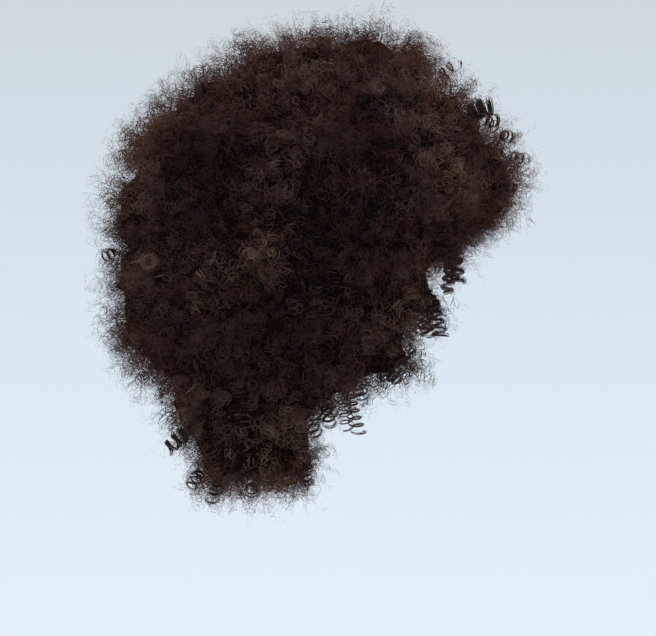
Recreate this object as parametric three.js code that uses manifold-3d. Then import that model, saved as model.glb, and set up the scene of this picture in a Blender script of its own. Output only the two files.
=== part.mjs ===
// A round wig of tight curls. A thin stretch cap carries six groups of curled wefts. Each group is
// one solid: a backing that follows the cap, thick locks all over it, and a few loose ringlets.
// Units are millimetres, +Z is up, the face opening looks along +X, and the origin is the highest
// point of the cap's hollow.
import * as THREE from "three";
import { mergeVertices } from "three/addons/utils/BufferGeometryUtils.js";
import Module from "manifold-3d";

const wasm = await Module();
wasm.setup();

// Cap: an egg-shaped stretch cap, half sizes of its hollow and the thickness of its cloth
const HOLLOW = { halfLength: 95, halfWidth: 75, halfHeight: 100 };
const CAP_WALL = 2;
const CAP_SIDES = 22;
const CAP_ROWS = 14;

// The cap's edge seen from the side: hairline, temple, tab before the ear, ear arch and nape
const CAP_EDGE = [
  { x: 112, z: -40 },
  { x: 84, z: -50 },
  { x: 60, z: -82 },
  { x: 40, z: -126 },
  { x: 20, z: -130 },
  { x: 2, z: -106 },
  { x: -22, z: -110 },
  { x: -46, z: -156 },
  { x: -62, z: -180 },
  { x: -112, z: -184 },
];
const CAP_EDGE_STEPS = 24;

// Outline of the hair: one row for each level, its back, front and half width. The backing follows
// the rows from the first to before the end, pulled in, and only locks reach past them.
const HAIR_LEVELS = [
  { z: 78, back: -26, front: 14, halfWidth: 20 },
  { z: 66, back: -78, front: 62, halfWidth: 68 },
  { z: 46, back: -100, front: 86, halfWidth: 96 },
  { z: 22, back: -142, front: 110, halfWidth: 124 },
  { z: -8, back: -166, front: 130, halfWidth: 143 },
  { z: -38, back: -180, front: 142, halfWidth: 155 },
  { z: -60, back: -182, front: 136, halfWidth: 158 },
  { z: -82, back: -183, front: 114, halfWidth: 158 },
  { z: -105, back: -179, front: 102, halfWidth: 155 },
  { z: -130, back: -181, front: 98, halfWidth: 148 },
  { z: -154, back: -175, front: 88, halfWidth: 140 },
  { z: -178, back: -166, front: 86, halfWidth: 130 },
  { z: -200, back: -154, front: 56, halfWidth: 119 },
  { z: -215, back: -136, front: 24, halfWidth: 109 },
  { z: -240, back: -131, front: -8, halfWidth: 102 },
  { z: -266, back: -116, front: -6, halfWidth: 98 },
  { z: -288, back: -108, front: -4, halfWidth: 92 },
];
const LEVEL_SQUARENESS = 2.4;
const BACKING_ROWS = { first: 2, end: -1 };
const BACKING_INSET = 20;
const BACKING_SIDES = 18;

// Locks: blunt tapered tufts that stand out of the backing and droop a little lower down. The row
// margins are the shares of the spacing that are left above the first row and below the last.
const LOCK_SPACING = 54;
const LOCK_ROW_MARGIN = { top: 0.5, bottom: 0.25 };
const LOCK_RADIUS = 31;
const LOCK_LENGTH = 66;
const LOCK_SIDES = 6;
const LOCK_REACH_VARIES = 9;
const LOCK_HEIGHT_VARIES = 16;
const LOCK_TIP_BEND = 9;
const LOCK_DROOP_AT_NAPE = 0.9;
const LOCK_PROFILE = [
  { along: 0, width: 0 },
  { along: 0.3, width: 0.95 },
  { along: 0.82, width: 0.82 },
  { along: 1, width: 0 },
];
const FRINGE_EDGE_LOCKS = { count: 5, z: -78, from: -0.3, to: 0.3 };

// Ringlets: loose corkscrew curls, each with its group, root, hang direction, turns and coil radius
const RINGLET_WIRE = 1.6;
const RINGLET_WIRE_SIDES = 4;
const RINGLET_STEPS_PER_TURN = 6;
const RINGLET_PITCH = 8;
const RINGLETS = [
  { group: "fringe", root: [82, -30, -82], hang: [0.2, -0.05, -1], turns: 5, coil: 5 },
  { group: "fringe", root: [82, -46, -84], hang: [0.05, 0.05, -1], turns: 5.5, coil: 5 },
  { group: "fringe", root: [82, 38, -84], hang: [0.15, 0, -1], turns: 4.5, coil: 5 },
  { group: "right_side", root: [64, -88, -126], hang: [0.15, 0.08, -1], turns: 4.5, coil: 5.5 },
  { group: "left_side", root: [64, 86, -128], hang: [0.15, -0.08, -1], turns: 4.2, coil: 5.5 },
  { group: "nape", root: [4, -76, -192], hang: [0.15, -0.05, -1], turns: 5, coil: 6 },
  { group: "nape", root: [2, 74, -196], hang: [0.15, 0.05, -1], turns: 4.8, coil: 6 },
];

// Hollows cut out of the hair besides the cap's: the neck, and the arch that leaves the face free
const NECK = { x: -8, halfLength: 54, halfWidth: 58, top: -110, bottom: -330, sides: 20 };
const FACE_ARCH = { back: 20, front: 220, halfWidth: 66, rise: 30, top: -86, bottom: -330, sides: 10 };

// Planes that part the hair into its weft groups, and the gap that every two pieces keep
const PARTING = { crownBottom: -20, fringeBack: 58, fringeBottom: -100, backFront: -62, napeTop: -168 };
const GAP = 0.6;
const FAR = 600;

const HAIR_FINISH = { color: 0x2f2220, roughness: 0.62, metalness: 0 };
const CAP_FINISH = { color: 0x191514, roughness: 0.9, metalness: 0 };

// A repeatable number from 0 to 1 for each seed
function vary(seed) {
  const wave = Math.sin(seed * 127.1 + 11.7) * 43758.5453;
  return wave - Math.floor(wave);
}

// A closed three.js geometry as a solid that can be joined and cut
function solidOf(geometry) {
  const bare = geometry.clone();
  bare.deleteAttribute("normal");
  bare.deleteAttribute("uv");
  const merged = mergeVertices(bare, 1e-4);
  const vertProperties = new Float32Array(merged.attributes.position.array);
  const triVerts = new Uint32Array(merged.index.array);
  return new wasm.Manifold(new wasm.Mesh({ numProp: 3, vertProperties, triVerts }));
}

// A solid's largest body as a named mesh
function meshOf(name, solid, finish) {
  const bodies = solid.decompose();
  const largest = bodies.reduce((a, b) => (a.volume() > b.volume() ? a : b));
  const { vertProperties, triVerts } = largest.getMesh();
  const geometry = new THREE.BufferGeometry();
  geometry.setAttribute("position", new THREE.BufferAttribute(vertProperties, 3));
  geometry.setIndex(new THREE.BufferAttribute(triVerts, 1));
  geometry.computeVertexNormals();
  const mesh = new THREE.Mesh(geometry, new THREE.MeshStandardMaterial(finish));
  mesh.name = name;
  return mesh;
}

function box(low, high) {
  const size = high.map((value, axis) => value - low[axis]);
  const geometry = new THREE.BoxGeometry(...size);
  geometry.translate(...low.map((value, axis) => value + size[axis] / 2));
  return solidOf(geometry);
}

// The egg shape of the hollow, swollen by a given thickness
function egg(swell) {
  const geometry = new THREE.SphereGeometry(1, CAP_SIDES, CAP_ROWS);
  geometry.rotateX(Math.PI / 2);
  geometry.scale(HOLLOW.halfLength + swell, HOLLOW.halfWidth + swell, HOLLOW.halfHeight + swell);
  geometry.translate(0, 0, -HOLLOW.halfHeight);
  return solidOf(geometry);
}

// A flat outline in the XZ plane, drawn out along Y to both sides
function sideways(outline, halfDepth) {
  const geometry = new THREE.ExtrudeGeometry(outline, { depth: 2 * halfDepth, bevelEnabled: false });
  geometry.translate(0, 0, -halfDepth);
  geometry.rotateX(Math.PI / 2);
  return solidOf(geometry);
}

function cap() {
  const edge = new THREE.SplineCurve(CAP_EDGE.map(({ x, z }) => new THREE.Vector2(x, z)));
  const outline = new THREE.Shape(edge.getSpacedPoints(CAP_EDGE_STEPS));
  outline.lineTo(-FAR / 2, 0);
  outline.lineTo(-FAR / 2, FAR / 2);
  outline.lineTo(FAR / 2, FAR / 2);
  outline.lineTo(FAR / 2, 0);
  const wall = egg(CAP_WALL).subtract(egg(0));
  return wall.intersect(sideways(outline, FAR / 2));
}

// The outline row at a level, between the two rows of the table that it lies between
function levelAt(z) {
  const below = Math.max(1, HAIR_LEVELS.findIndex((level) => level.z <= z));
  const [high, low] = [HAIR_LEVELS[below - 1], HAIR_LEVELS[below]];
  const share = THREE.MathUtils.clamp((high.z - z) / (high.z - low.z), 0, 1);
  const between = (key) => THREE.MathUtils.lerp(high[key], low[key], share);
  return { z, back: between("back"), front: between("front"), halfWidth: between("halfWidth") };
}

// A point of a level's rounded-square ring, pulled in by an inset
function ringPoint(level, around, inset) {
  const rounded = (value) => Math.sign(value) * Math.abs(value) ** (2 / LEVEL_SQUARENESS);
  const middle = (level.front + level.back) / 2;
  const halfLength = Math.max((level.front - level.back) / 2 - inset, 1);
  const halfWidth = Math.max(level.halfWidth - inset, 1);
  const x = middle + halfLength * rounded(Math.cos(around));
  const y = halfWidth * rounded(Math.sin(around));
  return new THREE.Vector3(x, y, level.z);
}

// The backing: rings of the outline pulled in, skinned and closed at both ends
function backing() {
  const rings = HAIR_LEVELS.slice(BACKING_ROWS.first, BACKING_ROWS.end);
  const points = [];
  for (const level of rings) {
    for (let side = 0; side < BACKING_SIDES; side += 1) {
      points.push(ringPoint(level, (2 * Math.PI * side) / BACKING_SIDES, BACKING_INSET));
    }
  }
  const faces = [];
  for (let row = 0; row + 1 < rings.length; row += 1) {
    for (let side = 0; side < BACKING_SIDES; side += 1) {
      const here = row * BACKING_SIDES + side;
      const next = row * BACKING_SIDES + ((side + 1) % BACKING_SIDES);
      faces.push(here, here + BACKING_SIDES, next);
      faces.push(next, here + BACKING_SIDES, next + BACKING_SIDES);
    }
  }
  const last = (rings.length - 1) * BACKING_SIDES;
  for (let side = 1; side + 1 < BACKING_SIDES; side += 1) {
    faces.push(0, side, side + 1);
    faces.push(last, last + side + 1, last + side);
  }
  const geometry = new THREE.BufferGeometry().setFromPoints(points);
  geometry.setIndex(faces);
  return solidOf(geometry);
}

// Levels of the rows of locks, evenly spaced along the outline from the top down
function lockRows() {
  const [top, bottom] = [HAIR_LEVELS[0].z, HAIR_LEVELS.at(-1).z];
  const travelled = [];
  let length = 0;
  for (let z = top - 1; z > bottom; z -= 1) {
    const [here, above] = [levelAt(z), levelAt(z + 1)];
    length += Math.hypot(1, here.front - above.front, here.halfWidth - above.halfWidth);
    travelled.push({ z, length });
  }
  const count = Math.round(length / LOCK_SPACING);
  const step = length / (LOCK_ROW_MARGIN.top + count - 1 + LOCK_ROW_MARGIN.bottom);
  const rows = Array.from({ length: count }, (_, row) => (LOCK_ROW_MARGIN.top + row) * step);
  return rows.map((distance) => travelled.find((spot) => spot.length >= distance).z);
}

// One lock: a turned tuft, bent at its tip, standing on the outline at a level and an angle
function lock(height, around, seed) {
  const [step, turn] = [2, 0.02];
  const z = THREE.MathUtils.clamp(height, HAIR_LEVELS.at(-1).z + step, HAIR_LEVELS[0].z - step);
  const spot = ringPoint(levelAt(z), around, 0);
  const upward = ringPoint(levelAt(z + step), around, 0).sub(ringPoint(levelAt(z - step), around, 0));
  const sideward = ringPoint(levelAt(z), around + turn, 0).sub(ringPoint(levelAt(z), around - turn, 0));
  const out = sideward.cross(upward).normalize();
  const fall = THREE.MathUtils.clamp(z / HAIR_LEVELS.at(-1).z, 0, 1) ** 2;
  out.z -= LOCK_DROOP_AT_NAPE * fall;
  out.normalize();

  const size = 0.8 + 0.35 * vary(seed);
  const length = LOCK_LENGTH * size;
  const profile = LOCK_PROFILE.map(
    ({ along, width }) => new THREE.Vector2(width * LOCK_RADIUS * size, along * length),
  );
  const geometry = new THREE.LatheGeometry(profile, LOCK_SIDES);
  geometry.rotateY(2 * Math.PI * vary(seed + 0.3));
  const place = geometry.attributes.position;
  for (let i = 0; i < place.count; i += 1) {
    const along = place.getY(i) / length;
    place.setX(i, place.getX(i) + LOCK_TIP_BEND * along ** 2);
  }
  geometry.translate(0, -length + LOCK_REACH_VARIES * (vary(seed + 0.6) - 0.3), 0);
  geometry.applyQuaternion(new THREE.Quaternion().setFromUnitVectors(new THREE.Vector3(0, 1, 0), out));
  geometry.translate(spot.x, spot.y, spot.z);
  return solidOf(geometry);
}

function locks() {
  const made = [];
  lockRows().forEach((z, row) => {
    const level = levelAt(z);
    const girth = Math.PI * ((level.front - level.back) / 2 + level.halfWidth);
    const count = Math.max(3, Math.round(girth / LOCK_SPACING));
    for (let i = 0; i < count; i += 1) {
      const seed = row * 100 + i;
      const around = (2 * Math.PI * (i + (row % 2) / 2 + 0.3 * vary(seed + 0.9))) / count;
      const shift = LOCK_HEIGHT_VARIES * (vary(seed + 0.45) - 0.5);
      made.push(lock(z + shift, around, seed));
    }
  });
  const { count, z, from, to } = FRINGE_EDGE_LOCKS;
  for (let i = 0; i < count; i += 1) {
    made.push(lock(z, THREE.MathUtils.lerp(from, to, i / (count - 1)), -1 - i));
  }
  return made;
}

// A corkscrew line about +Y that opens out from its root
class Corkscrew extends THREE.Curve {
  constructor(turns, coil) {
    super();
    this.turns = turns;
    this.coil = coil;
  }

  getPoint(share, target = new THREE.Vector3()) {
    const turned = 2 * Math.PI * this.turns * share;
    const radius = this.coil * Math.min(1, 0.35 + 2 * share);
    const along = RINGLET_PITCH * this.turns * share;
    return target.set(radius * Math.cos(turned), along, radius * Math.sin(turned));
  }
}

function ringlet({ root, hang, turns, coil }) {
  const section = new THREE.Shape(
    new THREE.EllipseCurve(0, 0, RINGLET_WIRE, RINGLET_WIRE).getPoints(RINGLET_WIRE_SIDES).slice(0, -1),
  );
  const geometry = new THREE.ExtrudeGeometry(section, {
    extrudePath: new Corkscrew(turns, coil),
    steps: Math.round(turns * RINGLET_STEPS_PER_TURN),
    bevelEnabled: false,
  });
  const down = new THREE.Vector3(...hang).normalize();
  geometry.applyQuaternion(new THREE.Quaternion().setFromUnitVectors(new THREE.Vector3(0, 1, 0), down));
  geometry.translate(...root);
  return solidOf(geometry);
}

// The room inside the hair: the cap with its gap, the neck, and the arch over the face
function hairHollow() {
  const neckTube = new THREE.CylinderGeometry(1, 1, NECK.top - NECK.bottom, NECK.sides);
  neckTube.rotateX(Math.PI / 2);
  neckTube.scale(NECK.halfLength, NECK.halfWidth, 1);
  neckTube.translate(NECK.x, 0, (NECK.top + NECK.bottom) / 2);

  const arch = new THREE.Shape();
  arch.moveTo(-FACE_ARCH.halfWidth, FACE_ARCH.bottom);
  arch.lineTo(FACE_ARCH.halfWidth, FACE_ARCH.bottom);
  arch.lineTo(FACE_ARCH.halfWidth, FACE_ARCH.top - FACE_ARCH.rise);
  arch.absellipse(0, FACE_ARCH.top - FACE_ARCH.rise, FACE_ARCH.halfWidth, FACE_ARCH.rise, 0, Math.PI);
  const archway = new THREE.ExtrudeGeometry(arch, {
    depth: FACE_ARCH.front - FACE_ARCH.back,
    bevelEnabled: false,
    curveSegments: FACE_ARCH.sides,
  });
  archway.rotateX(Math.PI / 2);
  archway.rotateZ(Math.PI / 2);
  archway.translate(FACE_ARCH.back, 0, 0);
  return egg(CAP_WALL + GAP).add(solidOf(neckTube)).add(solidOf(archway));
}

// The space of each weft group between the partings
function weftSpaces() {
  const { crownBottom, fringeBack, fringeBottom, backFront, napeTop } = PARTING;
  const fringe = box([fringeBack + GAP, -FAR, fringeBottom + GAP], [FAR, FAR, FAR]);
  const roundFringe = box([fringeBack, -FAR, fringeBottom], [FAR, FAR, FAR]);
  const side = (from, to) =>
    box([backFront + GAP, from, napeTop + GAP], [FAR, to, crownBottom]).subtract(roundFringe);
  return {
    crown: box([-FAR, -FAR, crownBottom + GAP], [fringeBack, FAR, FAR]),
    fringe,
    back: box([-FAR, -FAR, napeTop + GAP], [backFront, FAR, crownBottom]),
    right_side: side(-FAR, -GAP),
    left_side: side(GAP, FAR),
    nape: box([-FAR, -FAR, -FAR], [FAR, FAR, napeTop]),
  };
}

const wig = new THREE.Group();
wig.add(meshOf("cap", cap(), CAP_FINISH));

const allHair = locks().reduce((joined, one) => joined.add(one), backing()).subtract(hairHollow());
for (const [group, space] of Object.entries(weftSpaces())) {
  const loose = RINGLETS.filter((curl) => curl.group === group).map(ringlet);
  const tufted = loose.reduce((joined, one) => joined.add(one), allHair.intersect(space));
  wig.add(meshOf(`${group}_wefts`, tufted, HAIR_FINISH));
}

export default wig;
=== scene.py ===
import math

import bmesh
import bpy
import numpy as np
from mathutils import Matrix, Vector
from mathutils.bvhtree import BVHTree


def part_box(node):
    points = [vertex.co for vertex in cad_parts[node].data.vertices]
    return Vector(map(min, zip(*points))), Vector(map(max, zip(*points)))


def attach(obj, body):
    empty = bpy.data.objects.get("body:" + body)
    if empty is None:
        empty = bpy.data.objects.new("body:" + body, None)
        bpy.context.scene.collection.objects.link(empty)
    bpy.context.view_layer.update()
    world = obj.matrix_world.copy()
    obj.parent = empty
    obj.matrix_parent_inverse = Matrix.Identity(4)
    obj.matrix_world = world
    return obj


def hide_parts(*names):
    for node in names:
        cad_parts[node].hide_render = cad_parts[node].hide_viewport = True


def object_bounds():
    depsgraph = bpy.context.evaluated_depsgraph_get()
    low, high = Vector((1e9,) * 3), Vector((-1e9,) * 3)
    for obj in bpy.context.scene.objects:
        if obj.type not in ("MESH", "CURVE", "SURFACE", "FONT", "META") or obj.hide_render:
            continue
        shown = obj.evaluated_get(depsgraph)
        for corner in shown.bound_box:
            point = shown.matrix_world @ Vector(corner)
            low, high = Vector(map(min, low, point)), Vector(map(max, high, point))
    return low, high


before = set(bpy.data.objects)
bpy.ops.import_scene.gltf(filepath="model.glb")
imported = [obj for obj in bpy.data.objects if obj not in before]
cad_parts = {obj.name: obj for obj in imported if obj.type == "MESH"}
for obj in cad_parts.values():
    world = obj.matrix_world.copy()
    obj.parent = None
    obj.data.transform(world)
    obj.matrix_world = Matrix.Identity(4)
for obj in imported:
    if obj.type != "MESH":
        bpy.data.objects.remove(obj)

cad_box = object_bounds()

# Cap: a thin, close-fitting stretch net that carries every weft. It is machine-knitted from dull
# black-brown yarn. The hair hides it, so it shows only from below and through the open front arch.
CAP_YARN = (0.012, 0.009, 0.008, 1)
CAP_GAP = (0.003, 0.002, 0.002, 1)
CAP_MESHES_PER_METRE = 420
YARN_ENDS, GAP_STARTS = 0.12, 0.2
YARN_RELIEF = 0.0006


def start_material(name):
    material = bpy.data.materials.new(name)
    material.use_nodes = True
    nodes, links = material.node_tree.nodes, material.node_tree.links
    return material, nodes, links, nodes["Principled BSDF"]


def stretch_net():
    material, nodes, links, skin = start_material("stretch_net")
    place = nodes.new("ShaderNodeTexCoord")
    holes = nodes.new("ShaderNodeTexVoronoi")
    holes.feature = "DISTANCE_TO_EDGE"
    holes.inputs["Scale"].default_value = CAP_MESHES_PER_METRE
    yarn = nodes.new("ShaderNodeValToRGB")
    yarn.color_ramp.elements[0].color = CAP_YARN
    yarn.color_ramp.elements[0].position = YARN_ENDS
    yarn.color_ramp.elements[1].color = CAP_GAP
    yarn.color_ramp.elements[1].position = GAP_STARTS
    bump = nodes.new("ShaderNodeBump")
    bump.invert = True
    bump.inputs["Strength"].default_value = 0.6
    bump.inputs["Distance"].default_value = YARN_RELIEF
    links.new(place.outputs["Object"], holes.inputs["Vector"])
    links.new(holes.outputs["Distance"], yarn.inputs["Fac"])
    links.new(holes.outputs["Distance"], bump.inputs["Height"])
    links.new(yarn.outputs["Color"], skin.inputs["Base Color"])
    links.new(bump.outputs["Normal"], skin.inputs["Normal"])
    skin.inputs["Roughness"].default_value = 0.9
    skin.inputs["Specular IOR Level"].default_value = 0.15
    return material


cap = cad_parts["cap"]
cap.data.materials.clear()
cap.data.materials.append(stretch_net())

# Wefts: curled fibre sewn in rows to the cap, in six groups that part at the crown, sides and nape.
# Under the loose surface the fibre is packed into a dark, lumpy mass, which this section makes: each
# group's own form, rounded and drawn in to the depth where the single curls take over.
GROUPS = ("crown", "fringe", "back", "right_side", "left_side", "nape")
PARTED, HOLLOW, OUTER = 0, 1, 2
PARTING_REACH = 0.003
HALF_PARTING = 0.00032
HOLLOW_REACH = 0.100
LOOKING_IN = -0.25
HAIRLINE = -0.080
LOOSE_CURL_THICKNESS = 0.0036
SAME_POINT = 1e-6
JUST_INSIDE = 1e-5
TINY = 1e-12
LONGEST_EDGE = 0.012
SPLITTING_PASSES = 5
SMOOTHING = 0.5
ROUNDING_PASSES = 4
EVENING_PASSES = 26
SETTLING_PASSES = 3
RIM_SETTLING_PASSES = 12
RIM_REACH = 2
PACKED_DEPTH = 0.014
HOLLOW_DEPTH = 0.007
SHARPEST = 0.45
LEAST_SLIDE = 0.3
UNEVENNESS = 0.004
UNEVENNESS_SEED = 1
PACKED_DARK = (0.0070, 0.0036, 0.0032, 1)
PACKED_LIGHT = (0.030, 0.0155, 0.0135, 1)
DARK_ENDS, LIGHT_STARTS = 0.4, 0.72
PACKED_GRAINS_PER_METRE = 420
PACKED_RELIEF = 0.002

all_faces = {name: BVHTree.FromObject(node, bpy.context.evaluated_depsgraph_get())
             for name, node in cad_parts.items()}
cap_low, cap_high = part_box("cap")
cap_axis = Vector(((cap_low.x + cap_high.x) / 2, 0, 0))
hair_middle = (Vector(cad_box[0]) + Vector(cad_box[1])) / 2


def without_ringlets(name):
    """A copy of a group's solid with its thin loose ringlets taken off and their stumps closed."""
    form = bmesh.new()
    form.from_mesh(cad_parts[name].data)
    bmesh.ops.remove_doubles(form, verts=form.verts, dist=SAME_POINT)
    form.normal_update()
    tree = BVHTree.FromBMesh(form)
    thin = []
    for face in form.faces:
        start = face.calc_center_median() - face.normal * JUST_INSIDE
        if tree.ray_cast(start, -face.normal, LOOSE_CURL_THICKNESS)[0]:
            thin.append(face)
    bmesh.ops.delete(form, geom=thin, context="FACES")
    unseen, largest = set(form.faces), set()
    while unseen:
        island, edge_of_island = set(), [unseen.pop()]
        while edge_of_island:
            face = edge_of_island.pop()
            island.add(face)
            beside = {other for edge in face.edges for other in edge.link_faces} & unseen
            unseen -= beside
            edge_of_island.extend(beside)
        largest = max(largest, island, key=len)
    bmesh.ops.delete(form, geom=[f for f in form.faces if f not in largest], context="FACES")
    bmesh.ops.holes_fill(form, edges=[e for e in form.edges if e.is_boundary], sides=0)
    bmesh.ops.triangulate(form, faces=form.faces)
    return form


def split_long_edges(form):
    for _ in range(SPLITTING_PASSES):
        longest = {max(face.edges, key=lambda edge: edge.calc_length()) for face in form.faces}
        long = [edge for edge in longest if edge.calc_length() > LONGEST_EDGE]
        bmesh.ops.subdivide_edges(form, edges=long, cuts=1, use_grid_fill=True)
        bmesh.ops.triangulate(form, faces=form.faces)
    form.normal_update()


def side_of(face, own_name):
    """Whether a face meets another piece, looks into the hollow or is on the outside."""
    centre, normal = face.calc_center_median(), face.normal
    for name, tree in all_faces.items():
        if name != own_name and tree.ray_cast(centre, normal, PARTING_REACH)[0]:
            return PARTED
    outward = Vector((centre.x - cap_axis.x, centre.y, 0))
    looks_in = normal.dot(outward.normalized()) < LOOKING_IN and outward.length < HOLLOW_REACH
    return HOLLOW if looks_in and centre.z < HAIRLINE else OUTER


def smoothed(form, loose, times):
    for _ in range(times):
        bmesh.ops.smooth_vert(
            form, verts=loose, factor=SMOOTHING, use_axis_x=True, use_axis_y=True, use_axis_z=True
        )


def sides_round(vertex, side):
    return {face[side] for face in vertex.link_faces}


def loose_vertices(form, side):
    """The vertices on the outside and on its rim round the hollow, but on no parting."""
    around = {v: sides_round(v, side) for v in form.verts}
    return [v for v, sides in around.items() if OUTER in sides and PARTED not in sides]


def rim_vertices(form, side):
    """The vertices near the thin rim where the outside turns into the hollow."""
    rim = {v for v in form.verts if sides_round(v, side) >= {OUTER, HOLLOW}}
    for _ in range(RIM_REACH):
        rim |= {edge.other_vert(v) for v in rim for edge in v.link_edges}
    return [v for v in form.verts if v in rim]


def rounded_form(name):
    """A group's form with its facets rounded off, the side of each face and the swell of each vertex."""
    form = without_ringlets(name)
    split_long_edges(form)
    side = form.faces.layers.int.new("side")
    swell = form.verts.layers.float.new("swell")
    for face in form.faces:
        face[side] = side_of(face, name)
    loose = loose_vertices(form, side)
    smoothed(form, loose, ROUNDING_PASSES)
    form.normal_update()
    lumpy = [v.co.copy() for v in loose]
    normals = [v.normal.copy() for v in loose]
    smoothed(form, loose, EVENING_PASSES)
    for vertex, place, normal in zip(loose, lumpy, normals):
        vertex[swell] = (place - vertex.co).dot(normal)
        vertex.co = place
    form.normal_update()
    return form, side, swell


def inward_move(vertex, side, skin):
    """The move that draws a vertex in. At a parting it slides along the walls and closes the gap.

    A corner at a parting that looks back into the hair is in a crevice and isn't drawn in.
    """
    way, area, depth, walls = Vector(), TINY, 0.0, []
    for face in vertex.link_faces:
        if face[side] == PARTED:
            walls.append(face.normal)
        else:
            way += face.normal * face.calc_area()
            area += face.calc_area()
            depth = max(depth, PACKED_DEPTH if face[side] == OUTER else HOLLOW_DEPTH)
    depth /= max(way.length / area, SHARPEST)
    place, normal, _, away = skin.find_nearest(vertex.co, PACKED_DEPTH)
    if place and not depth:
        way, depth = normal, PACKED_DEPTH - away
    looks_back = way.dot(vertex.co - hair_middle) < 0
    if looks_back and sides_round(vertex, side) == {PARTED, OUTER}:
        depth = 0.0
    slide = way.copy()
    for wall in walls:
        slide -= wall * slide.dot(wall)
    if slide.length > LEAST_SLIDE * way.length:
        move = slide.normalized() * depth
    else:
        move = way.normalized() * min(depth, PACKED_DEPTH)
    return move - sum(walls, Vector()).normalized() * HALF_PARTING


def draw_in(form, side):
    """Draws the outside and the partings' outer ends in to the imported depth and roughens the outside."""
    form.verts.index_update()
    outer = [[v.index for v in f.verts] for f in form.faces if f[side] == OUTER]
    skin = BVHTree.FromPolygons([v.co.copy() for v in form.verts], outer)
    moves = [inward_move(vertex, side, skin) for vertex in form.verts]
    for vertex, move in zip(form.verts, moves):
        vertex.co -= move
    loose = loose_vertices(form, side)
    smoothed(form, loose, SETTLING_PASSES)
    smoothed(form, rim_vertices(form, side), RIM_SETTLING_PASSES)
    form.normal_update()
    rng = np.random.default_rng(UNEVENNESS_SEED)
    for vertex, height in zip(loose, rng.uniform(-UNEVENNESS, UNEVENNESS, len(loose))):
        vertex.co += vertex.normal * height


def packed_fibre():
    material, nodes, links, skin = start_material("packed_fibre")
    place = nodes.new("ShaderNodeTexCoord")
    fine = nodes.new("ShaderNodeTexNoise")
    fine.inputs["Scale"].default_value = PACKED_GRAINS_PER_METRE
    fine.inputs["Detail"].default_value = 5
    fine.inputs["Distortion"].default_value = 1.6
    tone = nodes.new("ShaderNodeValToRGB")
    tone.color_ramp.elements[0].color = PACKED_DARK
    tone.color_ramp.elements[0].position = DARK_ENDS
    tone.color_ramp.elements[1].color = PACKED_LIGHT
    tone.color_ramp.elements[1].position = LIGHT_STARTS
    bump = nodes.new("ShaderNodeBump")
    bump.inputs["Strength"].default_value = 0.8
    bump.inputs["Distance"].default_value = PACKED_RELIEF
    links.new(place.outputs["Object"], fine.inputs["Vector"])
    links.new(fine.outputs["Fac"], tone.inputs["Fac"])
    links.new(fine.outputs["Fac"], bump.inputs["Height"])
    links.new(tone.outputs["Color"], skin.inputs["Base Color"])
    links.new(bump.outputs["Normal"], skin.inputs["Normal"])
    skin.inputs["Roughness"].default_value = 1.0
    skin.inputs["Specular IOR Level"].default_value = 0.0
    return material


def triangles_on(form, side, swell, wanted):
    """The triangles on one side of a form, with the swell, way out and seam at their corners, as arrays."""
    faces = [f for f in form.faces if f[side] == wanted]
    outs = {}
    for vertex in {v for f in faces for v in f.verts}:
        free = [f for f in vertex.link_faces if f[side] != PARTED]
        outs[vertex] = sum((f.normal * f.calc_area() for f in free), Vector()).normalized()
    corners = np.array([[v.co for v in f.verts] for f in faces]).reshape(-1, 3, 3)
    swells = np.array([[v[swell] for v in f.verts] for f in faces]).reshape(-1, 3)
    ways = np.array([[outs[v] for v in f.verts] for f in faces]).reshape(-1, 3, 3)
    seams = np.array([[PARTED in sides_round(v, side) for v in f.verts] for f in faces], float)
    return corners, swells, ways, seams.reshape(-1, 3)


packed = packed_fibre()
outside, inside = {}, {}
for group in GROUPS:
    form, side, swell = rounded_form(group + "_wefts")
    outside[group] = triangles_on(form, side, swell, OUTER)
    inside[group] = triangles_on(form, side, swell, HOLLOW)
    draw_in(form, side)
    mesh = bpy.data.meshes.new(group + "_packed")
    form.to_mesh(mesh)
    form.free()
    mesh.materials.append(packed)
    mesh.polygons.foreach_set("use_smooth", np.ones(len(mesh.polygons), bool))
    mass = bpy.data.objects.new(group + "_packed", mesh)
    bpy.context.collection.objects.link(mass)
    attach(mass, "root")
    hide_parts(group + "_wefts")

# Curls: the loose surface of every weft group. Dark brown fibres leave the imported mass and wind into
# springy coils up to a centimetre wide. Some keep together as ringlets, and the finest are frizz. Rows
# give lengths in millimetres, and lifts that add to the tone, which runs from 0, dark, to 1, light. The
# frizz's lift is painted light: it is lighter where light shines through the fine outer fibres.
KINDS = {
    "curl": dict(
        piece="curls", each_square_metre=29000, together=1, points=19, turns=(2.4, 3.4),
        coil=(2.2, 4.6), rise=(3, 18), shortening=0.85, start=-15, width=0.56, advance=1.4,
        quick=2.6, painted_lift=-0.03,
    ),
    "ringlet": dict(
        piece="curls", each_square_metre=700, together=8, points=24, turns=(2.3, 3.3),
        coil=(3.2, 5.0), rise=(12, 18), shortening=1.0, start=-12, width=0.3, advance=2.4,
        quick=2.4, painted_lift=0.0,
    ),
    "loop": dict(
        piece="frizz", each_square_metre=27000, together=1, points=17, turns=(2.4, 3.4),
        coil=(1.6, 3.7), rise=(9, 28), shortening=0.8, start=-13, width=0.2, advance=1.0,
        quick=4.0, painted_lift=0.2,
    ),
    "wisp": dict(
        piece="frizz", each_square_metre=6500, together=1, points=13, turns=(1.2, 2.4),
        coil=(2.0, 4.4), rise=(14, 32), shortening=1.3, start=-12, width=0.15, advance=1.6,
        quick=2.4, painted_lift=0.35,
    ),
}
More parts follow.
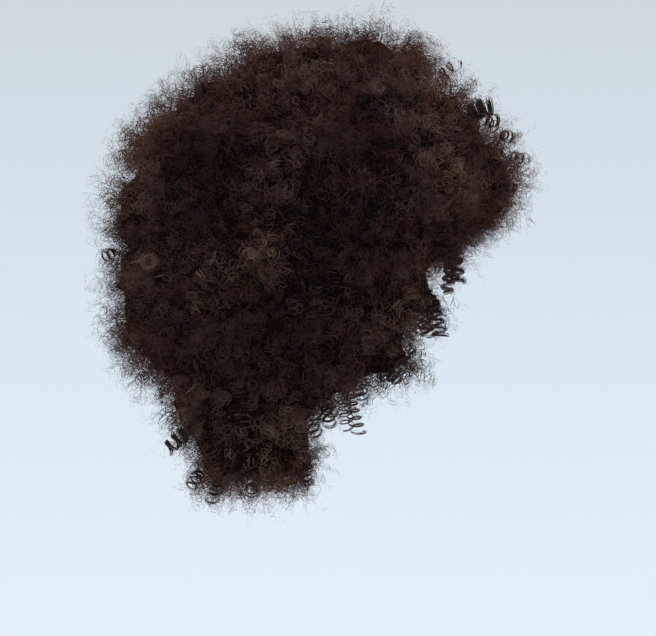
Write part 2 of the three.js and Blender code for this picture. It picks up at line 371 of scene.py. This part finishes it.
# Painted light: listed patches where the fibre tone is raised, painted highlights on lit clumps; the last
# row makes its patch darker.
PAINTED_LIGHT_PATCHES = (
    dict(at=(-62, -158, -90), radius=32, painted_lift=0.8),
    dict(at=(-61, -104, -236), radius=45, painted_lift=0.3),
    dict(at=(-122, -115, -148), radius=45, painted_lift=0.3),
    dict(at=(-76, -100, 28), radius=28, painted_lift=0.25),
    dict(at=(-123, -70, 15), radius=24, painted_lift=0.25),
    dict(at=(108, -95, -30), radius=60, painted_lift=-0.15),
)
LONGER_TUFTS = (
    dict(at=(45, 0, 74), radius=30, more=5),
    dict(at=(-2, 0, 80), radius=25, more=3),
    dict(at=(-72, 0, 68), radius=25, more=7),
    dict(at=(-103, 0, 53), radius=25, more=9),
    dict(at=(-170, 0, -17), radius=35, more=10),
    dict(at=(-178, 0, -134), radius=30, more=6),
    dict(at=(-163, 0, -188), radius=35, more=8),
    dict(at=(145, 0, -30), radius=30, more=7),
)
CURLS_SEED = 100
HANGING_SHARE = 2.5
SHARP_SHARE = 7
SEAM_SHARE = 4
FRINGE_SHARE = 1.2
HOLLOW_SHARE = 0.7
HOLLOW_RISE = 0.9
FULL_FALL_DEPTH = 0.28
FULL_FALL = 0.7
STRAY = 0.35
SEAM_STRAY = 0.8
AXIS_OUTWARD = 0.7
BEND = 0.003
FACING_STRAY = 0.9
CLUMP_VARIES = dict(root=0.0014, rise=0.05, coil=0.08, phase=0.25, tone=0.1)
NOT_ALONG_AXIS = 0.31
COIL_AT_ROOT, COIL_OPENING = 0.3, 2.2
TIP_NARROWING = 0.4
PATCH_WAVES = 7
PATCH_WAVE_VARIES = (0.5, 1.4)
PATCH_FULL_HEIGHT = 3.2
BROAD_PATCHES = dict(seed=1316, across=0.04)
BROAD_PATCH_TONE = 0.42
SMALL_PATCHES = dict(seed=1793, across=0.018)
SMALL_PATCH_TONE = 0.3
SMALL_PATCH_FROM = 0.5
MIDDLE_TONE = 0.37
# Painted shade and light: fibres rooted in hollows between the lumps are darker, and those on swelling
# lumps lighter, by this much per metre of swell.
SWELL_SHADE_AND_LIGHT = 26
TONE_VARIES = 0.10
DARKEST_TONE, LIGHTEST_TONE = 0.02, 0.98
MAP_MARGIN = 0.01
MAP_HALF_WIDTH = 0.006
TONES = (
    (0.0, (0.20, 0.145, 0.15)),
    (0.45, (0.80, 0.45, 0.42)),
    (0.8, (1.42, 0.82, 0.68)),
    (1.0, (2.3, 1.4, 0.9)),
)
# Painted shade and light along each fibre: darker toward the root, deep in the hair where shade falls, and
# lighter toward the tip, a painted light shining through the outer ends.
SHADED_ROOT_TO_LIT_TIP = ((0.0, 0.018), (0.4, 0.062), (1.0, 0.100))
LIGHT_THROUGH = (0.20, 0.055, 0.025, 1)


def curled_fibre(name, roughness, shine, clearness):
    material, nodes, links, skin = start_material(name)
    place = nodes.new("ShaderNodeUVMap")
    place.uv_map = "OFBake"
    split = nodes.new("ShaderNodeSeparateXYZ")
    along = nodes.new("ShaderNodeValToRGB")
    tone = nodes.new("ShaderNodeValToRGB")
    # The fibre's brightness from root to tip: painted shade at the root and painted light at the tip.
    shaded_root_lit_tip_greys = [(at, (value, value, value)) for at, value in SHADED_ROOT_TO_LIT_TIP]
    for ramp, stops in ((along.color_ramp, shaded_root_lit_tip_greys), (tone.color_ramp, TONES)):
        while len(ramp.elements) < len(stops):
            ramp.elements.new(0.5)
        for element, (at, colour) in zip(ramp.elements, stops):
            element.position = at
            element.color = (*colour, 1)
    mix = nodes.new("ShaderNodeMix")
    mix.data_type = "RGBA"
    mix.blend_type = "MULTIPLY"
    mix.inputs["Factor"].default_value = 1
    links.new(place.outputs["UV"], split.inputs["Vector"])
    links.new(split.outputs["X"], along.inputs["Fac"])
    links.new(split.outputs["Y"], tone.inputs["Fac"])
    links.new(along.outputs["Color"], mix.inputs["A"])
    links.new(tone.outputs["Color"], mix.inputs["B"])
    links.new(mix.outputs["Result"], skin.inputs["Base Color"])
    skin.inputs["Roughness"].default_value = roughness
    skin.inputs["Specular IOR Level"].default_value = shine
    through = nodes.new("ShaderNodeBsdfTranslucent")
    through.inputs["Color"].default_value = LIGHT_THROUGH
    both = nodes.new("ShaderNodeMixShader")
    both.inputs["Fac"].default_value = clearness
    links.new(skin.outputs["BSDF"], both.inputs[1])
    links.new(through.outputs["BSDF"], both.inputs[2])
    links.new(both.outputs["Shader"], nodes["Material Output"].inputs["Surface"])
    return material


def unit(vectors):
    return vectors / np.maximum(np.linalg.norm(vectors, axis=-1, keepdims=True), TINY)


def crossed_sides(triangles):
    return np.cross(triangles[:, 1] - triangles[:, 0], triangles[:, 2] - triangles[:, 0])


def area_of(surface):
    return float(np.linalg.norm(crossed_sides(surface[0]), axis=1).sum() / 2)


def spots_on(surface, count, rng):
    """Random spots, closer below and at edges and seams, with the way out, swell, seam and flatness."""
    triangles, swells, ways, seams = surface
    crossed = crossed_sides(triangles)
    areas = np.linalg.norm(crossed, axis=1)
    normals = unit(crossed)
    hanging = np.clip(-normals[:, 2], 0, 1)
    flat = (normals[:, None] * ways).sum(axis=2).mean(axis=1)
    closer = 1 + HANGING_SHARE * hanging + SHARP_SHARE * (1 - flat) + SEAM_SHARE * seams.mean(axis=1)
    weights = areas * closer
    chosen = rng.choice(len(triangles), count, p=weights / weights.sum())
    a, b = rng.random((2, count))
    over = (a + b) > 1
    a, b = np.where(over, 1 - a, a), np.where(over, 1 - b, b)
    shares = np.stack([1 - a - b, a, b], axis=1)
    spot = (triangles[chosen] * shares[:, :, None]).sum(axis=1)
    out = unit((ways[chosen] * shares[:, :, None]).sum(axis=1))
    swell = (swells[chosen] * shares).sum(axis=1)
    seam = (seams[chosen] * shares).sum(axis=1)
    return spot, out, swell, seam, flat[chosen]


def wound_ribbons(
    root, way, rise, quick, axis, advance, turns, coil, phase, hand, bend, face, width, points
):
    """Narrow ribbons that climb out of their roots and wind about an axis: an array of edge points.

    They are turned to a given way, or away from their own axis where none is given.
    """
    share = np.linspace(0, 1, points)[None, :, None]
    across = unit(np.cross(axis, np.roll(axis, 1, axis=1) + NOT_ALONG_AXIS))
    third = np.cross(axis, across)
    turned = phase[:, None, None] + (hand * 2 * np.pi * turns)[:, None, None] * share
    out = across[:, None] * np.cos(turned) + third[:, None] * np.sin(turned)
    climb = 1 - (1 - share) ** quick
    middle = root[:, None] + way[:, None] * rise[:, None, None] * climb
    middle = middle + axis[:, None] * (advance * turns)[:, None, None] * share + bend[:, None] * share**2
    middle = middle + out * coil[:, None, None] * np.clip(COIL_AT_ROOT + COIL_OPENING * share, 0, 1)
    lean = unit(np.cross(np.gradient(middle, axis=1), out if face is None else face[:, None]))
    half = width[:, None, None] * (1 - TIP_NARROWING * share) / 2
    return np.stack([middle - lean * half, middle + lean * half], axis=2)


def patchy(spots, seed, across):
    """A smooth, repeatable unevenness from -1 to 1 over the hair, in lumps of a given size in metres."""
    rng = np.random.default_rng(seed)
    total = np.zeros(len(spots))
    for _ in range(PATCH_WAVES):
        way = unit(rng.normal(size=3)) * rng.uniform(*PATCH_WAVE_VARIES) * np.pi / across
        total += np.sin(spots @ way + rng.uniform(0, 2 * np.pi))
    return np.clip(total / PATCH_FULL_HEIGHT, -1, 1)


def nearness(spots, place):
    """From 1 at the middle of a clump or tuft down to nothing well past its radius."""
    away = np.linalg.norm(spots * 1000 - np.array(place["at"]), axis=1) / place["radius"]
    return np.exp(-(away**2))


def grown(kind, surface, share, rise_share, rng):
    """The ribbons of one kind of curl on a surface, and their tones.

    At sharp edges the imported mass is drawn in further, so there the roots start deeper.
    """
    clumps = int(kind["each_square_metre"] * share * area_of(surface))
    spot, out, swell, seam, flat = spots_on(surface, clumps, rng)
    deeper = 1 + rng.random(clumps) * (1 / np.clip(flat, SHARPEST, 1) - 1)
    fall = np.clip(-spot[:, 2:] / FULL_FALL_DEPTH, 0, 1) ** 2
    stray = (STRAY + SEAM_STRAY * seam)[:, None] * rng.normal(size=spot.shape)
    way = unit(out + stray + fall * np.array([0, 0, -FULL_FALL]))
    axis = unit(AXIS_OUTWARD * out + rng.normal(size=spot.shape))
    shortest, longest = kind["rise"]
    rise = shortest + (longest - shortest) * rng.random(clumps) ** kind["shortening"]
    for tuft in LONGER_TUFTS:
        rise = np.minimum(rise + tuft["more"] * nearness(spot, tuft), longest)
    rise *= rise_share / 1000
    turns = rng.uniform(*kind["turns"], clumps)
    coil = rng.uniform(*kind["coil"], clumps) / 1000
    phase, hand = rng.uniform(0, 2 * np.pi, clumps), rng.choice([-1.0, 1.0], clumps)
    bend = rng.normal(size=spot.shape) * BEND
    # The kind's lift is painted light: the frizz is lighter where light shines through it at the outside.
    tone = MIDDLE_TONE + kind["painted_lift"] + BROAD_PATCH_TONE * patchy(spot, **BROAD_PATCHES)
    # Painted shade in the hollows between the lumps and painted light on the lumps.
    tone = tone + SWELL_SHADE_AND_LIGHT * swell + TONE_VARIES * rng.normal(size=clumps)
    small = np.clip(patchy(spot, **SMALL_PATCHES) - SMALL_PATCH_FROM, 0, 1 - SMALL_PATCH_FROM)
    tone += SMALL_PATCH_TONE * small / (1 - SMALL_PATCH_FROM)
    # Painted highlights on lit clumps, and one darker patch, from the listed patches.
    for clump in PAINTED_LIGHT_PATCHES:
        tone += clump["painted_lift"] * nearness(spot, clump)
    again = np.repeat(np.arange(clumps), kind["together"])
    count = len(again)
    varies = {what: amount if kind["together"] > 1 else 0.0 for what, amount in CLUMP_VARIES.items()}
    root = spot + out * deeper[:, None] * kind["start"] / 1000
    ribbons = wound_ribbons(
        root=root[again] + rng.normal(size=(count, 3)) * varies["root"],
        way=way[again],
        rise=rise[again] * (1 + varies["rise"] * rng.normal(size=count)),
        quick=kind["quick"],
        axis=axis[again],
        advance=kind["advance"] / 1000,
        turns=turns[again],
        coil=coil[again] * (1 + varies["coil"] * rng.normal(size=count)),
        phase=phase[again] + varies["phase"] * rng.normal(size=count),
        hand=hand[again],
        bend=bend[again],
        face=unit(out[again] + FACING_STRAY * rng.normal(size=(count, 3))),
        width=np.full(count, kind["width"] / 1000),
        points=kind["points"],
    )
    tones = tone[again] + varies["tone"] * rng.normal(size=count)
    return ribbons, np.clip(tones, DARKEST_TONE, LIGHTEST_TONE)


def ribbon_mesh(name, ribbons, tones):
    """One mesh of all ribbons. Their map runs from root to tip one way and by tone the other."""
    at = 0
    places, corners, maps = [], [], []
    for edge_points, tone in zip(ribbons, tones):
        count, points = edge_points.shape[:2]
        places.append(edge_points.reshape(-1, 3))
        first = at + 2 * points * np.arange(count)[:, None] + 2 * np.arange(points - 1)[None, :]
        corners.append(np.stack([first, first + 1, first + 3, first + 2], axis=2).reshape(-1, 4))
        along = np.linspace(MAP_MARGIN, 1 - MAP_MARGIN, points)
        low = np.broadcast_to(along[:-1], first.shape)
        high = np.broadcast_to(along[1:], first.shape)
        left = np.broadcast_to(tone[:, None] - MAP_HALF_WIDTH, first.shape)
        right = np.broadcast_to(tone[:, None] + MAP_HALF_WIDTH, first.shape)
        maps.append(np.stack([low, left, low, right, high, right, high, left], axis=2).reshape(-1, 8))
        at += 2 * points * count
    places, corners, maps = np.concatenate(places), np.concatenate(corners), np.concatenate(maps)
    mesh = bpy.data.meshes.new(name)
    mesh.vertices.add(len(places))
    mesh.vertices.foreach_set("co", places.astype(np.float32).ravel())
    mesh.loops.add(corners.size)
    mesh.loops.foreach_set("vertex_index", corners.astype(np.int32).ravel())
    mesh.polygons.add(len(corners))
    mesh.polygons.foreach_set("loop_start", np.arange(0, corners.size, 4, dtype=np.int32))
    layer = mesh.uv_layers.new(name="OFBake")
    layer.data.foreach_set("uv", maps.astype(np.float32).ravel())
    mesh.polygons.foreach_set("use_smooth", np.ones(len(corners), bool))
    mesh.update()
    mesh.validate()
    return mesh


fibres = {
    "curls": curled_fibre("curled_fibre", roughness=0.55, shine=0.08, clearness=0.15),
    "frizz": curled_fibre("frizz_fibre", roughness=0.55, shine=0.04, clearness=0.5),
}
for number, group in enumerate(GROUPS):
    rng = np.random.default_rng(CURLS_SEED + number)
    thickness = FRINGE_SHARE if group == "fringe" else 1
    for part in ("curls", "frizz"):
        kinds = [kind for kind in KINDS.values() if kind["piece"] == part]
        made = [grown(kind, outside[group], thickness, 1, rng) for kind in kinds]
        if len(inside[group][0]):
            made += [grown(kind, inside[group], HOLLOW_SHARE, HOLLOW_RISE, rng) for kind in kinds]
        mesh = ribbon_mesh(f"{group}_{part}", *zip(*made))
        mesh.materials.append(fibres[part])
        piece = bpy.data.objects.new(f"{group}_{part}", mesh)
        bpy.context.collection.objects.link(piece)
        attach(piece, "root")
        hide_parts(group + "_wefts")

# Ringlets: loose corkscrews of many dark fibres that hold together and shine a little. Some hang free
# at the front, the sides and the nape. The others lie on the outside of the curls, alike on both sides,
# with their roots sunk where a level line from the side meets the hair. Sizes are in millimetres.
HANGING = (
    dict(group="fringe", root=(82, -30, -82), way=(0.2, -0.05, -1),
         turns=5, coil=5, pitch=8, band=4.2, tone=0.1),
    dict(group="fringe", root=(82, -46, -84), way=(0.05, 0.05, -1),
         turns=7.5, coil=5, pitch=5.9, band=2.4, tone=0.3),
    dict(group="fringe", root=(82, 38, -84), way=(0.15, 0, -1),
         turns=6, coil=5, pitch=6, band=3, tone=0.2),
    dict(group="right_side", root=(64, -88, -126), way=(0.15, 0.08, -1),
         turns=6, coil=5.5, pitch=6, band=1.8, tone=0.25),
    dict(group="left_side", root=(64, 86, -128), way=(0.15, -0.08, -1),
         turns=5.6, coil=5.5, pitch=6, band=1.8, tone=0.25),
    dict(group="nape", root=(4, -76, -192), way=(0.15, -0.5, -1),
         turns=7.6, coil=5.4, pitch=5.2, band=1.3, tone=0.5),
    dict(group="nape", root=(2, 74, -196), way=(0.15, 0.5, -1),
         turns=7.4, coil=5.4, pitch=5.2, band=1.3, tone=0.5),
)
LYING = (
    dict(x=76, z=37, way=(0.7, -1, 0.5), turns=2.4, coil=4.5, pitch=5, band=1.8, tone=0.5),
    dict(x=92, z=3, way=(1, -0.35, 0.35), turns=2.6, coil=6, pitch=7.6, band=6, tone=0.02),
    dict(x=112, z=2, way=(0.8, -1.1, -0.1), turns=2.6, coil=5, pitch=5, band=2.0, tone=0.3),
    dict(x=118, z=-14, way=(0.8, -1.2, -0.3), turns=2.6, coil=4.6, pitch=5, band=1.8, tone=0.4),
    dict(x=126, z=-28, way=(0.9, -1.1, -0.2), turns=2.6, coil=4.6, pitch=5, band=1.6, tone=0.4),
    dict(x=120, z=-50, way=(0.7, -1.1, -0.5), turns=2.6, coil=4.2, pitch=5, band=1.8, tone=0.2),
    dict(x=110, z=-64, way=(0.6, -1.2, -0.6), turns=2.4, coil=4.2, pitch=5, band=1.8, tone=0.3),
    dict(x=98, z=-72, way=(0.4, -1.1, -0.8), turns=2.5, coil=4.2, pitch=5, band=1.8, tone=0.3),
    dict(x=57, z=-148, way=(0.3, -0.9, -0.9), turns=3, coil=4.6, pitch=6, band=1.8, tone=0.35),
    dict(x=34, z=-184, way=(0.3, -0.9, -0.8), turns=3, coil=4.6, pitch=5, band=1.8, tone=0.3),
    dict(x=15, z=-195, way=(0.2, -1, -0.8), turns=3, coil=4.6, pitch=5.5, band=1.8, tone=0.35),
    dict(x=-12, z=-212, way=(0.4, -0.9, -0.8), turns=3, coil=5, pitch=6, band=2.0, tone=0.25),
    dict(x=-22, z=-220, way=(0.4, -1, -0.8), turns=3, coil=4.6, pitch=5.5, band=1.8, tone=0.2),
    dict(x=-28, z=-256, way=(0.3, -0.9, -0.8), turns=3, coil=4.6, pitch=5.5, band=1.8, tone=0.35),
    dict(x=-64, z=-266, way=(0.1, -1, -0.7), turns=3, coil=4.8, pitch=5, band=1.8, tone=0.25),
    dict(x=-88, z=-264, way=(-0.2, -0.9, -0.8), turns=3, coil=4.6, pitch=5.5, band=1.8, tone=0.35),
    dict(x=-102, z=-258, way=(-0.3, -1, -0.8), turns=3, coil=4.8, pitch=5.5, band=2.0, tone=0.3),
    dict(x=-108, z=-226, way=(-1, -0.6, -0.8), turns=3.6, coil=5, pitch=6.5, band=2.8, tone=0.12),
    dict(x=-166, z=-98, way=(-0.6, -0.9, -0.5), turns=2.4, coil=4.6, pitch=5, band=1.8, tone=0.3),
    dict(x=-140, z=-86, way=(-0.6, -0.4, -0.3), turns=3, coil=5, pitch=6, band=2.0, tone=0.15),
)
RINGLETS_SEED = 40
FIBRES_EACH_MILLIMETRE = 6
BUNDLE_FIBRE_WIDTH = 0.55
BUNDLE_FLATNESS = 0.6
BUNDLE_PHASE_VARIES = 0.1
BUNDLE_TONE_VARIES = 0.06
RINGLET_BEND = 0.002
RINGLET_FRAY = 0.0006
POINTS_EACH_TURN = 12
ROOT_SINKING = 7
WELL_OUTSIDE = 400


def lying_ringlet(entry, side_sign):
    """The group and root of a ringlet that lies on one side of the hair."""
    start = Vector((entry["x"], side_sign * WELL_OUTSIDE, entry["z"])) / 1000
    hits = [(tree.ray_cast(start, Vector((0, -side_sign, 0))), name) for name, tree in all_faces.items()]
    near = [(hit[3], hit[0], name) for hit, name in hits if hit[0]]
    _, spot, name = min(near, key=lambda found: found[0])
    root = (spot.x * 1000, spot.y * 1000 - side_sign * ROOT_SINKING, spot.z * 1000)
    return name.removesuffix("_wefts"), root


def bundled(entry, rng):
    """The ribbons of one ringlet, spread over its bundle's flattened round section, and their tones."""
    count = int(FIBRES_EACH_MILLIMETRE * entry["band"])
    way = np.repeat(unit(np.array([entry["way"]], float)), count, axis=0)
    angle = rng.uniform(0, 2 * np.pi, count)
    reach = entry["band"] / 2000 * np.sqrt(rng.random(count))
    ribbons = wound_ribbons(
        root=np.array(entry["root"]) / 1000 + way * (reach * np.cos(angle))[:, None],
        way=way,
        rise=np.zeros(count),
        quick=1.0,
        axis=way,
        advance=entry["pitch"] / 1000,
        turns=np.full(count, float(entry["turns"])),
        coil=entry["coil"] / 1000 + BUNDLE_FLATNESS * reach * np.sin(angle),
        phase=rng.uniform(0, 2 * np.pi) + BUNDLE_PHASE_VARIES * rng.normal(size=count),
        hand=np.full(count, rng.choice([-1.0, 1.0])),
        bend=rng.normal(size=(1, 3)) * RINGLET_BEND + rng.normal(size=(count, 3)) * RINGLET_FRAY,
        face=None,
        width=np.full(count, BUNDLE_FIBRE_WIDTH / 1000),
        points=int(entry["turns"] * POINTS_EACH_TURN),
    )
    tones = entry["tone"] + BUNDLE_TONE_VARIES * rng.normal(size=count)
    return ribbons, np.clip(tones, DARKEST_TONE, LIGHTEST_TONE)


ringlets = {group: [] for group in GROUPS}
rng = np.random.default_rng(RINGLETS_SEED)
for entry in HANGING:
    ringlets[entry["group"]].append(bundled(entry, rng))
for side_sign in (-1, 1):
    for entry in LYING:
        group, root = lying_ringlet(entry, side_sign)
        x, y, z = entry["way"]
        ringlets[group].append(bundled(dict(entry, root=root, way=(x, -side_sign * y, z)), rng))
shiny = curled_fibre("ringlet_fibre", roughness=0.4, shine=0.12, clearness=0.1)
for group, made in ringlets.items():
    if made:
        mesh = ribbon_mesh(group + "_ringlets", *zip(*made))
        mesh.materials.append(shiny)
        piece = bpy.data.objects.new(group + "_ringlets", mesh)
        bpy.context.collection.objects.link(piece)
        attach(piece, "root")
        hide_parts(group + "_wefts")

# Studio: the wig is held in the air as worn, over a pale floor that stays below the picture, in soft
# daylight from all round with a broad lamp overhead. Sizes are in metres.
FLOOR_DROP = 0.62
FLOOR_RADIUS = 1.3
FLOOR_SIDES = 96
FLOOR_PAINT = (0.75, 0.77, 0.8, 1)
SKY_STOPS = (
    (0, (0.80, 0.88, 0.98, 1)),
    (0.5, (0.70, 0.79, 0.88, 1)),
    (1, (0.62, 0.68, 0.72, 1)),
)
SKY_CHANGE = 0.16
LAMP_WIDTH = 0.9
LAMP_WATTS = 10
LAMP_PLACE = (0.35, -0.35, 1.1)
LAMP_AIM = (-0.02, 0, -0.1)

floor_shape = bmesh.new()
bmesh.ops.create_circle(floor_shape, cap_ends=True, segments=FLOOR_SIDES, radius=FLOOR_RADIUS)
floor_mesh = bpy.data.meshes.new("floor")
floor_shape.to_mesh(floor_mesh)
floor_shape.free()
floor_paint, _, _, floor_skin = start_material("pale_floor")
floor_skin.inputs["Base Color"].default_value = FLOOR_PAINT
floor_skin.inputs["Roughness"].default_value = 0.9
floor_mesh.materials.append(floor_paint)
floor = bpy.data.objects.new("floor", floor_mesh)
floor.location.z = -FLOOR_DROP
bpy.context.collection.objects.link(floor)

world = bpy.data.worlds.new("daylight")
bpy.context.scene.world = world
world.use_nodes = True
sky_nodes, sky_links = world.node_tree.nodes, world.node_tree.links
sky_place = sky_nodes.new("ShaderNodeTexCoord")
sky_split = sky_nodes.new("ShaderNodeSeparateXYZ")
sky_range = sky_nodes.new("ShaderNodeMapRange")
sky_range.inputs["From Min"].default_value = -SKY_CHANGE
sky_range.inputs["From Max"].default_value = SKY_CHANGE
sky_ramp = sky_nodes.new("ShaderNodeValToRGB")
sky_ramp.color_ramp.elements.new(0.5)
for element, (at, colour) in zip(sky_ramp.color_ramp.elements, SKY_STOPS):
    element.position = at
    element.color = colour
sky_links.new(sky_place.outputs["Generated"], sky_split.inputs["Vector"])
sky_links.new(sky_split.outputs["Z"], sky_range.inputs["Value"])
sky_links.new(sky_range.outputs["Result"], sky_ramp.inputs["Fac"])
sky_links.new(sky_ramp.outputs["Color"], sky_nodes["Background"].inputs["Color"])
sky_nodes["Background"].inputs["Strength"].default_value = 1.0

lamp_data = bpy.data.lights.new("overhead_lamp", "AREA")
lamp_data.shape = "DISK"
lamp_data.size = LAMP_WIDTH
lamp_data.energy = LAMP_WATTS
lamp = bpy.data.objects.new("overhead_lamp", lamp_data)
lamp.location = LAMP_PLACE
lamp.rotation_euler = (Vector(LAMP_AIM) - lamp.location).to_track_quat("-Z", "Y").to_euler()
bpy.context.collection.objects.link(lamp)

# Camera: level, and square to the wig's right side, as in the picture, which is 656 by 636 pixels
# and shows 0.76 mm of the wig's middle plane to the pixel. The top of the cap's hollow is the origin.
PICTURE_WIDTH, PICTURE_HEIGHT = 656, 636
METRES_PER_PIXEL = 0.00076
ORIGIN_PIXEL = (340, 125)
CAMERA_DISTANCE = 1.6
SENSOR_WIDTH = 36

camera_data = bpy.data.cameras.new("camera")
camera_data.sensor_width = SENSOR_WIDTH
camera_data.lens = SENSOR_WIDTH * CAMERA_DISTANCE / (PICTURE_WIDTH * METRES_PER_PIXEL)
camera = bpy.data.objects.new("camera", camera_data)
camera.location = (
    (PICTURE_WIDTH / 2 - ORIGIN_PIXEL[0]) * METRES_PER_PIXEL,
    -CAMERA_DISTANCE,
    (ORIGIN_PIXEL[1] - PICTURE_HEIGHT / 2) * METRES_PER_PIXEL,
)
camera.rotation_euler = (math.pi / 2, 0, 0)
bpy.context.collection.objects.link(camera)
bpy.context.scene.camera = camera
bpy.context.scene.view_settings.view_transform = "Standard"
